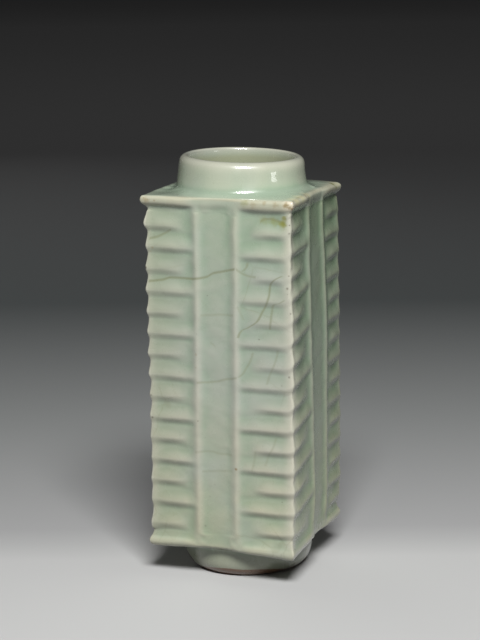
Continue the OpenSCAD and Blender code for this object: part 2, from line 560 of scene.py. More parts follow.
print("the base's edge hangs", LEFT_DROOP / MM, "to", RIGHT_DROOP / MM, "mm at its corners")

# %% Shape the cage by hand
# How far the corners are pressed out, or in where negative
LIP_CORNER, LEFT_CORNER, RIGHT_CORNER, NEAR_CORNER = 0.9 * MM, 0.8 * MM, 0.0, -0.2 * MM
# The near corner: a swelling beside it, then its rounding, which starts this far along
NEAR_SWELL, NEAR_ROUNDING, NEAR_SET_BACK = 0.6 * MM, 1.8 * MM, 0.4 * MM
ROUNDING_START, ROUNDING_WIDTH = 37.5 * MM, 9.5 * MM
FIRST_RIB_END = 1.2 * MM
LIP_SLOPE = 0.55
for vertex in skin.data.vertices:
    co = vertex.co
    out, along = out_and_along(co)
    in_lips = co.z < SHEET_LOW + NEAR or co.z > SHEET_HIGH - NEAR
    in_corner = at_corner(co)
    near_viewer = co.x > 0 and co.y < 0
    on_front = co.y < 0 and abs(co.y) > abs(co.x)
    on_right = co.x > 0 and abs(co.x) > abs(co.y)
    if out < GROUND - 2.5 * MM:
        continue
    if in_corner and in_lips:
        move_out(co, LIP_CORNER)
    elif in_corner and co.x > 0:
        move_out(co, NEAR_CORNER if near_viewer else RIGHT_CORNER)
    elif in_corner:
        from_first_rib = abs(co.z - rib_heights[-1])
        bulge = FIRST_RIB_END * (1 - eased(from_first_rib, 1, 5)) if co.y < 0 else 0
        move_out(co, LEFT_CORNER + bulge)
    if on_right:
        co.x -= LIP_SLOPE * max(0, co.z - SHOULDER_CREST_Z)
    if co.z > (seam_up + 1) * MM:
        warp_lip(co)
    if in_lips and co.z > SHOULDER_CREST_Z + 1.8 * MM:
        continue
    if on_front and not in_lips:
        wear_ribs(co, out, along)
    if in_lips:
        carry_band(co, out, along)
    if not in_lips or near_viewer:
        fill_corner(co, out, along)
    if co.z < SHEET_LOW + NEAR:
        hang_base_edge(co, along, on_front)
    if on_front:
        settle_front(co)
    if on_right:
        settle_right(co)
    if near_viewer and not in_lips and not on_front:
        co.x += NEAR_SWELL * eased(along, 28, 37)
        co.x -= NEAR_ROUNDING * max(0, (along - ROUNDING_START) / ROUNDING_WIDTH) ** 1.5
    if near_viewer and not in_lips and not on_right:
        co.y += NEAR_SET_BACK * eased(along, 40, 47)
    if co.x < 0 and co.y < 0:
        lift_left(co, on_front)
    settle_sides(co)
print("shaped a cage of", len(skin.data.vertices), "vertices")

# %% Set the foot and the neck a little off the axis and tilt the rim
FOOT_SHIFT = Vector((0.8, 0.3, 0)) * MM
NECK_SHIFT = Vector((-0.75, -0.28, 0)) * MM
RIM_TILT, RIM_SIDE_TILT = 0.018, 0.027
# Cosine and sine of the angle from which the photograph looks at the vase
VIEW_COS, VIEW_SIN = 0.94, 0.35
for vertex in skin.data.vertices:
    below = 1 - eased(vertex.co.z, under - 3, under - 0.3)
    outside = eased(math.hypot(vertex.co.x, vertex.co.y), 29, 33)
    at_neck = eased(vertex.co.z, top + 1, top + 4) - 0.5 * eased(vertex.co.z, top + 8, rim)
    vertex.co += FOOT_SHIFT * below * outside + NECK_SHIFT * at_neck
    behind = VIEW_COS * vertex.co.y - VIEW_SIN * vertex.co.x
    aside = VIEW_COS * vertex.co.x + VIEW_SIN * vertex.co.y
    slope = RIM_TILT * behind - RIM_SIDE_TILT * aside
    vertex.co.z += slope * eased(vertex.co.z, top + 6, rim - 2)
print("foot shifted by", round(FOOT_SHIFT.length / MM, 2), "mm, neck by", round(NECK_SHIFT.length / MM, 2))

# %% [markdown]
# ## Soft, hand-pressed forms
# Hand-pressed clay is never quite true: ribs wander a little, and edges swell under the
# glaze. A Displace modifier moves the cage by a soft cloud in all three directions, a
# Subdivision Surface rounds it, and a second cloud adds low waves to the finished skin.
# The foot stays true, because the vase has to stand on it.

# %% Displace and subdivide
def finish_with(obj, kind, **settings):
    choose(obj)
    modifier = obj.modifiers.new(kind.lower(), kind)
    for key, value in settings.items():
        setattr(modifier, key, value)
    bpy.ops.object.modifier_apply(modifier=modifier.name)


def cloud(name, size, colour):
    texture = bpy.data.textures.new(name, "CLOUDS")
    texture.noise_scale = size
    texture.cloud_type = "COLOR" if colour else "GRAYSCALE"
    return texture


HAND_WANDER, CLAY_WAVES = 1.0 * MM, 0.35 * MM
# The neck was thrown on a wheel, so it's nearly true
NECK_SHARE = 0.04
# The strength fades in above the foot
hand = skin.vertex_groups.new(name="hand")
for vertex in skin.data.vertices:
    share = min(1, max(0, (vertex.co.z - BASE_Z + 3 * MM) / (4 * MM)))
    hand.add([vertex.index], NECK_SHARE if vertex.co.z > NECK_Z + 2 * MM else share, "REPLACE")
finish_with(skin, "DISPLACE", texture=cloud("hand_wander", 16 * MM, True), direction="RGB_TO_XYZ",
            texture_coords="LOCAL", mid_level=0.5, strength=HAND_WANDER, vertex_group="hand")
finish_with(skin, "SUBSURF", levels=2, render_levels=2)
finish_with(skin, "DISPLACE", texture=cloud("clay_waves", 9 * MM, False), texture_coords="LOCAL",
            mid_level=0.5, strength=CLAY_WAVES, vertex_group="hand")
print("skin faces", len(skin.data.polygons))

# %% [markdown]
# ## Where the glaze runs thin and where it pools
# In the kiln the glaze melts, runs off every edge, and gathers in every hollow. So edges
# turn pale and hollows turn green. How sharply the skin bends tells where that happens:
# a smoothed copy of the skin lies outside a hollow and inside an edge. The distance is
# measured at two scales and stored with each vertex for the glaze material. The smooth
# normals are stored too, so that shading won't break where the pieces are cut apart. On the
# shoulder and the neck they are evened out, which gives the lamps' reflections clean edges.


# %% Measure hollows and edges
def smoothed(points, ends, rounds):
    count = np.bincount(ends.ravel(), minlength=len(points)).astype(float)
    for _ in range(rounds):
        total = np.empty_like(points)
        for axis in range(3):
            total[:, axis] = (
                np.bincount(ends[:, 0], points[ends[:, 1], axis], len(points))
                + np.bincount(ends[:, 1], points[ends[:, 0], axis], len(points))
            )
        points = 0.5 * points + 0.5 * total / count[:, None]
    return points


def read_vectors(items, key):
    values = np.empty(len(items) * 3)
    items.foreach_get(key, values)
    return values.reshape(-1, 3)


def keep(mesh, name, kind, key, values):
    attribute = mesh.attributes.new(name, kind, "POINT")
    attribute.data.foreach_set(key, np.ascontiguousarray(values, dtype=np.float32).ravel())


skin_points = read_vectors(skin.data.vertices, "co")
skin_normals = read_vectors(skin.data.vertex_normals, "vector")
edge_ends = np.empty(len(skin.data.edges) * 2, dtype=np.int64)
skin.data.edges.foreach_get("vertices", edge_ends)
edge_ends = edge_ends.reshape(-1, 2)
for name, rounds in (("edge", 14), ("pool", 90)):
    lift = ((smoothed(skin_points, edge_ends, rounds) - skin_points) * skin_normals).sum(axis=1) / MM
    keep(skin.data, name, "FLOAT", "value", lift)
    print(name, "from", np.percentile(lift, (1, 10, 50, 90, 99)).round(3), "mm")
skin_heights = skin_points[:, 2:]
above_walls = np.clip((skin_heights - SHOULDER_Z) / MM, 0, 1)
on_neck = np.clip((skin_heights - NECK_Z) / (3 * MM) - 1, 0, 1)
on_neck *= np.clip((RIM_Z - skin_heights) / (3 * MM) - 1, 0, 1)
for part, rounds in ((above_walls, 6), (on_neck, 50)):
    skin_normals = skin_normals + part * (smoothed(skin_normals, edge_ends, rounds) - skin_normals)
skin_normals /= np.linalg.norm(skin_normals, axis=1, keepdims=True)
keep(skin.data, "skin_normal", "FLOAT_VECTOR", "vector", skin_normals)

# %% [markdown]
# ## Cut the skin into the clay pieces
# Separate By Material gives each labelled piece an object of its own. Each one is then
# closed behind the skin, as the clay is: a wall goes back to the inside of the vase, the
# base gets its raised square and its boss, and the neck gets its spigot.

# %% Separate by label
edit_all(skin)
bpy.ops.mesh.separate(type="MATERIAL")
bpy.ops.object.mode_set(mode="OBJECT")
pieces = {}
for obj in list(bpy.context.selected_objects):
    label = obj.data.materials[0].name.removeprefix("label_")
    obj.name = "celadon_" + label
    obj.data.name = obj.name
    obj.data.materials.clear()
    obj.vertex_groups.clear()
    pieces[label] = obj
outer_faces = {label: len(obj.data.polygons) for label, obj in pieces.items()}
print("outer faces", outer_faces)


# %% Close the walls
def pick_open_edges(obj, test=lambda co: True):
    bpy.ops.mesh.select_mode(type="EDGE")
    shape = bmesh.from_edit_mesh(obj.data)
    for edge in shape.edges:
        middle = (edge.verts[0].co + edge.verts[1].co) / 2
        edge.select_set(edge.is_boundary and test(middle))
    shape.select_flush_mode()
    bmesh.update_edit_mesh(obj.data)


def extrude_to(obj, half, low, high):
    """Extrudes the selected edges back to the square of this half width, between two heights."""
    extrude_up(0)
    shape = bmesh.from_edit_mesh(obj.data)
    chosen = [v for v in shape.verts if v.select]
    first = min(v.co.z for v in chosen)
    last = max(v.co.z for v in chosen)
    for vertex in chosen:
        factor = half / max(abs(vertex.co.x), abs(vertex.co.y))
        share = (vertex.co.z - first) / (last - first) if last - first > MM else 0
        vertex.co.x *= factor
        vertex.co.y *= factor
        vertex.co.z = low + share * (high - low)
    bmesh.update_edit_mesh(obj.data)


for label in WALLS:
    edit(pieces[label])
    pick_open_edges(pieces[label])
    extrude_to(pieces[label], INSIDE, WALL_Z, SHOULDER_Z)
    bpy.ops.mesh.edge_face_add()
    deselect_all()
    print(label, len(pieces[label].data.polygons) - outer_faces[label], "faces behind the skin")


# %% Close the shoulder, the neck, the base and the foot
def extrude_round(obj, reach, height):
    shape = bmesh.from_edit_mesh(obj.data)
    heights = [v.co.z for v in shape.verts if v.select]
    extrude_up(height - sum(heights) / len(heights))
    round_ring(obj, 1, reach / MM)
    bpy.ops.transform.resize(value=(1, 1, 0), center_override=(0, 0, height))


SPIGOT = 36.6 * MM
SLIP = 0.15 * MM
shoulder, neck, base_piece, foot = (pieces[name] for name in ("shoulder", "neck", "base", "foot"))

edit(shoulder)
pick_open_edges(shoulder, lambda co: co.z < SHOULDER_CREST_Z)
extrude_to(shoulder, INSIDE, SHOULDER_Z, SHOULDER_Z)
extrude_round(shoulder, SPIGOT + SLIP, SHOULDER_Z)
pick_open_edges(shoulder)
bpy.ops.mesh.bridge_edge_loops()

edit(neck)
pick_open_edges(neck, lambda co: co.z < SHOULDER_Z + MM)
extrude_round(neck, SPIGOT, SHOULDER_Z)
pick_open_edges(neck)
bpy.ops.mesh.bridge_edge_loops()

edit(base_piece)
pick_open_edges(base_piece, lambda co: co.z > BASE_CREST_Z)
extrude_to(base_piece, INSIDE - SLIP, WALL_Z, WALL_Z)
extrude_up(FLOOR_Z - WALL_Z)
bpy.ops.mesh.edge_face_add()
pick_open_edges(base_piece)
extrude_round(base_piece, bore * MM - SLIP, (under - 0.5) * MM)
extrude_round(base_piece, bore * MM - SLIP, RECESS_Z)
bpy.ops.mesh.edge_face_add()

edit(foot)
pick_open_edges(foot)
bpy.ops.mesh.bridge_edge_loops()
deselect_all()
print("slip of", SLIP / MM, "mm round the spigot, the raised square and the boss")

# %% Turn all faces outwards and keep the smooth shading of the skin
for label, obj in pieces.items():
    edit_all(obj)
    bpy.ops.mesh.normals_make_consistent(inside=False)
    deselect_all()
    mesh = obj.data
    for face in mesh.polygons:
        face.use_smooth = True
    kept_normals = read_vectors(mesh.attributes["skin_normal"].data, "vector")
    corner_normals = []
    for face in mesh.polygons:
        on_skin = face.index < outer_faces[label]
        for vertex in face.vertices:
            corner_normals.append(tuple(kept_normals[vertex]) if on_skin else tuple(face.normal))
    mesh.normals_split_custom_set(corner_normals)
    shape = bmesh.new()
    shape.from_mesh(mesh)
    open_edges = sum(not e.is_manifold for e in shape.edges)
    print(label, "volume", round(shape.calc_volume(signed=True) * 1e6, 1), "cm3, open edges", open_edges)
    shape.free()

# %% [markdown]
# ## The celadon glaze
# Celadon is a thick glass, tinted green by a little iron, over a pale grey clay. Its
# colour could be painted on a picture, but then it would fit only one size. Here it's
# made of nodes, from the shape itself: the stored hollows and edges drive a ramp from
# deep green through the usual grey-green to cream, and clouds of noise make it uneven.

# %% Small helpers for material nodes
class Recipe:
    """A material's node tree, with short names for the nodes a glaze is mixed from.

    Noise is scaled to metres, and all other lengths are in millimetres."""

    def __init__(self, name):
        self.material = bpy.data.materials.new(name)
        self.material.use_nodes = True
        self.tree = self.material.node_tree
        self.shader = self.tree.nodes["Principled BSDF"]
        self.place = self.add("ShaderNodeTexCoord").outputs["Object"]
        self.point = self.vector("MULTIPLY", self.place, [1 / MM] * 3)[0]
        self.axes = self.add("ShaderNodeSeparateXYZ", Vector=self.point).outputs

    def add(self, kind, settings=None, **inputs):
        node = self.tree.nodes.new(kind)
        for key, value in (settings or {}).items():
            setattr(node, key, value)
        self.fill(node, inputs)
        return node

    def fill(self, node, inputs):
        for key, value in inputs.items():
            self.plug(node.inputs[key.replace("_", " ")], value)

    def finish(self, **inputs):
        self.fill(self.shader, inputs)
        return self.material

    def plug(self, socket, value):
        if isinstance(value, bpy.types.NodeSocket):
            self.tree.links.new(value, socket)
        else:
            socket.default_value = value

    def reckon(self, kind, operation, values):
        node = self.add(kind, {"operation": operation})
        for socket, value in zip(node.inputs, values):
            self.plug(socket, value)
        return node.outputs

    def math(self, operation, *values):
        return self.reckon("ShaderNodeMath", operation, values)[0]

    def vector(self, operation, *values):
        return self.reckon("ShaderNodeVectorMath", operation, values)

    def times(self, first, second):
        return self.math("MULTIPLY", first, second)

    def stretch(self, value, low, high, to_low=0.0, to_high=1.0):
        node = self.add("ShaderNodeMapRange", {"interpolation_type": "SMOOTHSTEP"}, Value=value,
                        From_Min=low, From_Max=high, To_Min=to_low, To_Max=to_high)
        return node.outputs[0]

    def within(self, value, start, full, fading, end, strength=1.0):
        rising = self.stretch(value, start, full, 0, strength)
        return self.times(rising, self.stretch(value, fading, end, 1, 0))

    def noise(self, scale, detail=2.0, roughness=0.5):
        node = self.add("ShaderNodeTexNoise", Vector=self.place, Scale=scale, Detail=detail,
                        Roughness=roughness)
        return node.outputs["Fac"]

    def mix(self, share, first, second, blend="MIX"):
        node = self.add("ShaderNodeMix", {"data_type": "RGBA", "blend_type": blend})
        for index, value in ((0, share), (6, first), (7, second)):
            self.plug(node.inputs[index], value)
        return node.outputs[2]

    def ramp(self, value, stops):
        node = self.add("ShaderNodeValToRGB", Fac=value)
        while len(node.color_ramp.elements) < len(stops):
            node.color_ramp.elements.new(0.5)
        for element, (position, *colour) in zip(node.color_ramp.elements, stops):
            element.position = position
            element.color = (*colour, 1)
        return node.outputs["Color"]

    def stored(self, name):
        return self.add("ShaderNodeAttribute", {"attribute_name": name}).outputs["Fac"]


# %% [markdown]
# ### Hairlines
# A few cracks in the front of the glaze have taken up brown. Each one is drawn as a Float
# Curve in the plane of the wall, and its colour fades out beside the curve.
# Everywhere else a distorted Voronoi pattern gives faint crackle.

# %% Draw the hairlines and the crackle
# Each line has a strength and points in millimetres, with x from the middle of the wall and
# z from the table. Lines under "XZ" give z for each x, and lines under "ZX" give x for each z.
HAIRLINES = {
    "XZ": (
        (1.0, [(-45, 187), (-37, 188), (-28, 190), (-17, 190), (-7.5, 191.5), (-2.5, 194), (6, 196),
               (12, 197.5)]),
        (0.6, [(12, 197.5), (16, 195), (20, 193.5), (25, 193)]),
        (0.4, [(-11.5, 167.5), (-2, 168.5), (10.5, 169)]),
        (0.6, [(-14.5, 125.5), (-1.5, 127), (3, 128.5), (12.5, 130.5)]),
        (0.4, [(-16.5, 81.5), (-6, 82.5), (0.5, 81.5), (8.5, 81.5)]),
        (0.35, [(-12, 69.5), (8.5, 71.5)]),
        (0.8, [(-44, 213.2), (-38, 214.8), (-33, 217.4), (-29, 219.8)]),
        (0.85, [(27, 224), (29, 227.6), (33, 228.2), (38, 227.4), (43, 225.6)]),
        (0.4, [(-5.8, 151.2), (-3.5, 149.8), (-1.5, 148)]),
    ),
    "ZX": (
        (0.7, [(195.5, 14.5), (196, 16), (198.5, 18.5), (202, 19.5)]),
        (0.9, [(155, 13), (159, 14.5), (162, 19.5), (166.5, 25.5), (172, 28.5), (177.5, 31.5),
               (182.5, 33), (188.5, 33.5), (191, 35.5), (195, 42)]),
        (0.7, [(161, 33), (166.5, 34), (172, 34.5), (176.5, 35.5), (178, 39.5), (180.5, 43.5)]),
        (0.35, [(166, 17), (169, 15.5), (175, 13)]),
        (0.55, [(130.5, 12.5), (133.5, 16), (137, 18), (141.5, 20.5), (147, 22)]),
        (0.45, [(127, 31), (133, 32.5), (138, 35), (143.5, 37), (149.5, 38)]),
        (0.4, [(76, 29.5), (83, 31.5), (88, 34.5), (95, 36.5)]),
        (0.35, [(72, 21), (80, 22.5), (85.5, 23)]),
    ),
}
HAIR_WIDTH, HAIR_END = 1.3, 0.8


def hairline(recipe, axes, strength, points, waver):
    """A mask that has its strength on the line through the points and falls to 0 beside it."""
    along, over = (recipe.axes[axis] for axis in axes)
    first, last = points[0][0], points[-1][0]
    low = min(p[1] for p in points) - 1
    high = max(p[1] for p in points) + 1
    share = recipe.add("ShaderNodeMapRange", Value=along, From_Min=first, From_Max=last).outputs[0]
    curve = recipe.add("ShaderNodeFloatCurve", Value=share)
    line = curve.mapping.curves[0].points
    while len(line) < len(points):
        line.new(0.5, 0.5)
    for knot, (step, height) in zip(line, points):
        knot.location = ((step - first) / (last - first), (height - low) / (high - low))
        knot.handle_type = "AUTO_CLAMPED"
    curve.mapping.update()
    height = recipe.math("MULTIPLY_ADD", curve.outputs[0], high - low, low)
    distance = recipe.math("ABSOLUTE", recipe.math("ADD", recipe.math("SUBTRACT", over, height), waver))
    mask = recipe.stretch(distance, 0.1 * HAIR_WIDTH, HAIR_WIDTH, strength, 0)
    return recipe.times(mask, recipe.within(along, first, first + HAIR_END, last - HAIR_END, last))


CELLS, CELL_EDGE, CELL_WARP, CELLS_LEFT_OUT = 26, 0.014, 0.012, 0.5


def crackle(recipe):
    """Faint cell edges, warped by noise and kept only where another noise is high."""
    clouds = recipe.add("ShaderNodeTexNoise", Vector=recipe.place, Scale=CELLS * 1.3, Detail=3.0)
    warped = recipe.vector("MULTIPLY_ADD", clouds.outputs["Color"], [CELL_WARP] * 3, recipe.place)[0]
    cells = recipe.add("ShaderNodeTexVoronoi", {"feature": "DISTANCE_TO_EDGE"}, Vector=warped, Scale=CELLS)
    edge = recipe.stretch(cells.outputs["Distance"], 0.15 * CELL_EDGE, CELL_EDGE, 1, 0)
    kept = recipe.stretch(recipe.noise(CELLS * 0.7, 1), CELLS_LEFT_OUT, CELLS_LEFT_OUT + 0.12)
    return recipe.times(edge, kept)


print(sum(len(drawn) for drawn in HAIRLINES.values()), "hairlines on the front wall")

# %% [markdown]
# ### Marks of use
# Pits, rust and olive stains sit where the photograph shows them: along the corner nearest
# the viewer, under the shoulder's lip, and on the lip itself. The straw patches on the
# right lip are stain and painted light together. Each mark is a soft spot round a point.
# A little noise in the distance makes its outline uneven.

# %% Place the marks
PIT = (0.070, 0.055, 0.035, 1)
RUST = (0.210, 0.150, 0.070, 1)
# A straw stain, pale enough to be painted light as well
STRAW_AND_LIGHT = (0.530, 0.505, 0.310, 1)
MOSS = (0.205, 0.212, 0.055, 1)
CHIP = (0.600, 0.550, 0.430, 1)
BROWN = (0.260, 0.210, 0.115, 1)
# Each mark is a strength, a radius and a point's x, y and z, in millimetres. On a wall the
# point's distance out from the wall hardly counts.
FRONT_MARKS = {
    MOSS: ((0.95, 3.8, 42, -46, 225.6), (0.85, 2.8, 43, -46, 229.6), (0.5, 4, 36, -46, 226.8),
           (0.35, 4, 29.5, -46, 227.6)),
    PIT: ((0.7, 0.8, 46, -46, 225.2), (0.6, 0.7, 46.4, -46, 172), (0.7, 0.9, 46, -46, 220.3),
          (0.6, 0.8, 46.6, -46, 196.5), (0.5, 0.7, 45.6, -46, 194.8), (0.6, 0.9, 44.6, -46, 187.2),
          (0.55, 0.7, 44.8, -46, 183.8), (0.7, 0.9, 45.2, -46, 133.2), (0.35, 0.8, 40.6, -46, 127.7),
          (0.8, 1.2, -46.4, -46, 195.6), (0.55, 0.9, -43.9, -46, 101.5), (0.4, 0.8, -44.4, -46, 115.6),
          (0.35, 0.7, -3.7, -46, 61.5), (0.3, 0.7, -10.2, -46, 34.5)),
    RUST: ((0.5, 1, -41.6, -46, 208), (0.4, 0.9, -43, -46, 205.4), (0.5, 0.9, -14.3, -46, 135.2),
           (0.35, 0.8, -14.2, -46, 143.3), (0.9, 1.2, 10.7, -46, 72.9)),
}
RIGHT_MARKS = {
    PIT: ((0.6, 0.9, 46, -44.5, 222), (0.6, 1, 46, -43.8, 131.7), (0.5, 0.8, 46, -44.6, 199)),
    MOSS: ((0.5, 2, 46, 43, 234),),
}
SHOULDER_MARKS = {
    # Straw stains on the shoulder's right lip, made pale as painted light there as well
    STRAW_AND_LIGHT: ((0.75, 6.5, 46.6, -38, 239.2), (0.75, 6.5, 46.4, -27, 239.6), (0.55, 5, 46.4, -15, 239.6),
            (0.6, 5, 46.2, 42, 238.8)),
    CHIP: ((0.95, 6, 47, -47.8, 237.4),),
    BROWN: ((0.95, 2.6, 44.6, -48.6, 237), (0.9, 2, 47.4, -48.4, 236), (0.55, 2.4, 38, -48.4, 237),
            (0.5, 2, 31, -48.4, 238), (0.35, 2.6, 24, -48.4, 236.2), (0.5, 2.4, 46.8, -20, 238.8),
            (0.6, 2.6, -44.5, -48.4, 236.6)),
    MOSS: ((0.35, 3.2, 18.5, -48.4, 237.4), (0.6, 1.8, 46.6, -31, 240), (0.8, 2.6, 46.2, 36, 239),
           (0.7, 1.6, 48.2, 37.5, 236.5)),
    RUST: ((0.9, 1.3, 48.4, -48, 235), (0.8, 0.9, -38.9, -48.6, 237), (0.7, 0.8, -46, -48, 238.2)),
    PIT: ((0.8, 0.8, 49.2, -47.2, 236.6),),
}
NECK_MARKS = {
    PIT: ((0.55, 0.8, -4, -39, 247.5), (0.6, 0.8, 33, -21.2, 256.2), (0.35, 0.6, 16, -36.5, 243.5)),
}
MOST_FRAYED = 2.6


def add_marks(recipe, colour, marks, squash):
    """Mixes the marks into the colour, with distances squashed along one axis."""
    uneven = recipe.math("SUBTRACT", recipe.noise(330, 3), 0.5)
    flat = recipe.vector("MULTIPLY", recipe.point, squash)[0]
    for tint, spots in marks.items():
        for strength, radius, *point in spots:
            middle = [p * s for p, s in zip(point, squash)]
            away = recipe.vector("DISTANCE", flat, middle)["Value"]
            ragged = recipe.math("MULTIPLY_ADD", uneven, 2.2 * min(radius, MOST_FRAYED), away)
            mask = recipe.stretch(ragged, 0.1 * radius, 1.1 * radius, strength, 0)
            colour = recipe.mix(mask, colour, tint)
    return colour


print(sum(map(len, FRONT_MARKS.values())), "marks on the front wall")

# %% [markdown]
# ### Mix the glaze
# The colours are those of the fired glaze in plain daylight, apart from painted shade. The
# foot is painted darker as shade under the base, and the right wall, turned away from the
# soft box, is painted darker as shade, most towards its back and under the shoulder's lip,
# with a cream strip by the near corner. Each other layer is one thing that happens in the
# kiln or in later use: pooling, runs, a green root of the neck, an olive left and a cream
# right side of the front, green that gathers in hollows, cream edges, stained lips, an olive
# mouth, crackle and iron specks.

# %% Name the colours of the glaze
POOL_RAMP = (
    (0.05, 0.412, 0.408, 0.335),
    (0.30, 0.368, 0.384, 0.308),
    (0.50, 0.315, 0.350, 0.276),
    (0.68, 0.256, 0.318, 0.236),
    (0.86, 0.210, 0.270, 0.196),
)
# Tints from the foot to the rim, by the share of the height. The darker foot is painted shade, where the
# base overhangs it.
TONE_AND_SHADE_RAMP = (
    (0.055, 0.90, 0.92, 0.85),
    (0.075, 1.03, 1.02, 0.90),
    (0.13, 1.07, 1.03, 0.93),
    (0.30, 1.07, 1.02, 1.0),
    (0.55, 1.0, 0.98, 1.02),
    (0.86, 0.96, 0.99, 0.96),
    (0.95, 1.09, 1.11, 1.07),
    (0.985, 1.01, 1.03, 1.0),
    (1.0, 0.84, 0.85, 0.85),
)
CREAM = (0.466, 0.460, 0.376, 1)
BLUE_GREY = (0.345, 0.375, 0.345, 1)
DEEP_GREEN = (0.215, 0.285, 0.205, 1)
BEIGE = (0.382, 0.370, 0.268, 1)
WHITE = (1, 1, 1, 1)
SHOULDER_GREEN = (0.248, 0.308, 0.236, 1)
LEFT_OLIVE = (0.264, 0.284, 0.203, 1)
# Painted shade for the right wall, turned away from the soft box: over the whole wall, deeper towards its
# back edge, and under the shoulder's lip, where its shadow falls
SIDE_SHADE = (0.84, 0.90, 0.815, 1)
FAR_SHADE = (0.70, 0.765, 0.675, 1)
UNDER_LIP_SHADE = (0.88, 0.90, 0.87, 1)
HAIR_BROWN = (0.180, 0.192, 0.112, 1)
OLIVE = (0.258, 0.264, 0.168, 1)
SPECK = (0.060, 0.045, 0.030, 1)
CLAY = (0.175, 0.088, 0.046, 1)


print("from", POOL_RAMP[-1][1:], "in pools to", CREAM[:3], "on edges")

# %% Mix the glaze
LIP_TOP = (top - 0.3, top + 0.6)


def fired_colour(recipe, is_front, is_shaded_side):
    """Pools, tints by height, runs, green hollows and cream edges from the kiln, and painted shade."""
    mix, noise, stretch, times = recipe.mix, recipe.noise, recipe.stretch, recipe.times
    across, deep, height = recipe.axes
    pool = stretch(recipe.stored("pool"), -1.0, 1.0)
    pool.node.interpolation_type = "LINEAR"
    uneven = recipe.math("MULTIPLY_ADD", noise(55, 4, 0.6), 0.22, -0.11)
    colour = recipe.ramp(recipe.math("ADD", pool, uneven), POOL_RAMP)
    # Tints by height, with painted shade on the foot
    tone_and_shade = recipe.ramp(recipe.math("DIVIDE", height, rim), TONE_AND_SHADE_RAMP)
    colour = mix(1.0, colour, tone_and_shade, "MULTIPLY")
    colour = mix(stretch(noise(28, 3), 0.45, 0.75, 0, 0.35), colour, BLUE_GREY)
    at_root = recipe.within(height, *LIP_TOP, top + 2, top + 6, 0.65)
    colour = mix(at_root, colour, SHOULDER_GREEN)
    if is_front:
        colour = mix(stretch(across, -46, -14, 0.55, 0), colour, LEFT_OLIVE)
        colour = mix(stretch(across, 40, 46.5, 0, 0.5), colour, CREAM)
    edge = recipe.stored("edge")
    colour = mix(stretch(edge, 0.04, 0.3, 0, 0.6), colour, DEEP_GREEN)
    worn = times(stretch(edge, -0.15, -0.48), stretch(noise(90, 4), 0.25, 0.6, 0.45, 1))
    worn = times(worn, stretch(height, rim - 8, rim - 2, 1, 0.35))
    colour = mix(worn, colour, CREAM)
    # Painted shade, deeper towards the back and under the lip, with the strip by the near corner painted
    # cream over it
    if is_shaded_side:
        tint = mix(stretch(deep, 0, 40), SIDE_SHADE, FAR_SHADE)
        colour = mix(1.0, colour, tint, "MULTIPLY")
        tint = mix(stretch(height, 190, 235), WHITE, UNDER_LIP_SHADE)
        colour = mix(1.0, colour, tint, "MULTIPLY")
        colour = mix(stretch(deep, -47, -37, 0.85, 0), colour, CREAM)
    return colour


def stained(recipe, colour):
    """Stains the shoulder's lip beige beside its bands, and the mouth olive."""
    work, stretch, times = recipe.math, recipe.stretch, recipe.times
    across, deep, height = recipe.axes
    on_lip = recipe.within(height, seam_up + 0.1, seam_up + 2.6, *LIP_TOP)
    along = work("MINIMUM", work("ABSOLUTE", across), work("ABSOLUTE", deep))
    off_band = work("MAXIMUM", stretch(along, 9, 24), stretch(height, top - 2, top - 0.8))
    beige = times(on_lip, stretch(recipe.noise(36, 4), 0.3, 0.65, 0.2, 0.85))
    colour = recipe.mix(times(beige, off_band), colour, BEIGE)
    flat = recipe.add("ShaderNodeCombineXYZ", X=across, Y=deep).outputs[0]
    inner = stretch(recipe.vector("LENGTH", flat)["Value"], mouth + 0.4, mouth + 1.6, 0.75, 0)
    in_mouth = times(inner, stretch(height, rim - 6, rim - 1.5, 1, 0))
    return recipe.mix(in_mouth, colour, OLIVE)


# The last argument paints shade on a wall that faces away from the soft box
def celadon(name, crackled, rippled, hairlines=None, marks=None, squash=(1, 1, 1), bare_rim=False,
            shaded_side=False):
    recipe = Recipe(name)
    mix, noise, stretch = recipe.mix, recipe.noise, recipe.stretch
    work, times = recipe.math, recipe.times
    colour = stained(recipe, fired_colour(recipe, hairlines, shaded_side))
    lines = times(crackle(recipe), crackled)
    if hairlines:
        waver = work("MULTIPLY_ADD", noise(160, 3), 0.9, -0.45)
        for axes, drawn in hairlines.items():
            for strength, points in drawn:
                lines = work("MAXIMUM", lines, hairline(recipe, axes, strength, points, waver))
    colour = mix(times(lines, 0.7), colour, HAIR_BROWN)
    dots = recipe.add("ShaderNodeTexVoronoi", Vector=recipe.place, Scale=150.0).outputs
    chance = recipe.add("ShaderNodeSeparateColor", Color=dots["Color"]).outputs[0]
    speck = stretch(dots["Distance"], 0.03, 0.09, 0.6, 0)
    colour = mix(times(work("GREATER_THAN", chance, 0.93), speck), colour, SPECK)
    if marks:
        colour = add_marks(recipe, colour, marks, squash)
    if bare_rim:
        across, deep, height = recipe.axes
        wavy = work("MULTIPLY_ADD", noise(60, 4), -3, 1.5)
        facing = work("MULTIPLY_ADD", across, 0.2, times(deep, -0.98))
        level = work("ADD", work("ADD", height, wavy), stretch(facing, 25, 37, 0, -3))
        colour = mix(stretch(level, 2, 2.6, 1, 0), colour, CLAY)

    rough = stretch(noise(120, 3), 0.3, 0.7, 0.22, 0.38)
    ripple = work("SUBTRACT", noise(110, 2), times(lines, 0.5))
    bump = recipe.add("ShaderNodeBump", Strength=rippled, Distance=0.6 * MM, Height=ripple).outputs[0]
    return recipe.finish(Base_Color=colour, Roughness=rough, Normal=bump, Coat_Normal=bump,
                         Coat_Weight=0.8, Coat_Roughness=0.05)


plain_glaze = celadon("celadon", 0.3, 0.07)
print("nodes in the plain glaze", len(plain_glaze.node_tree.nodes))

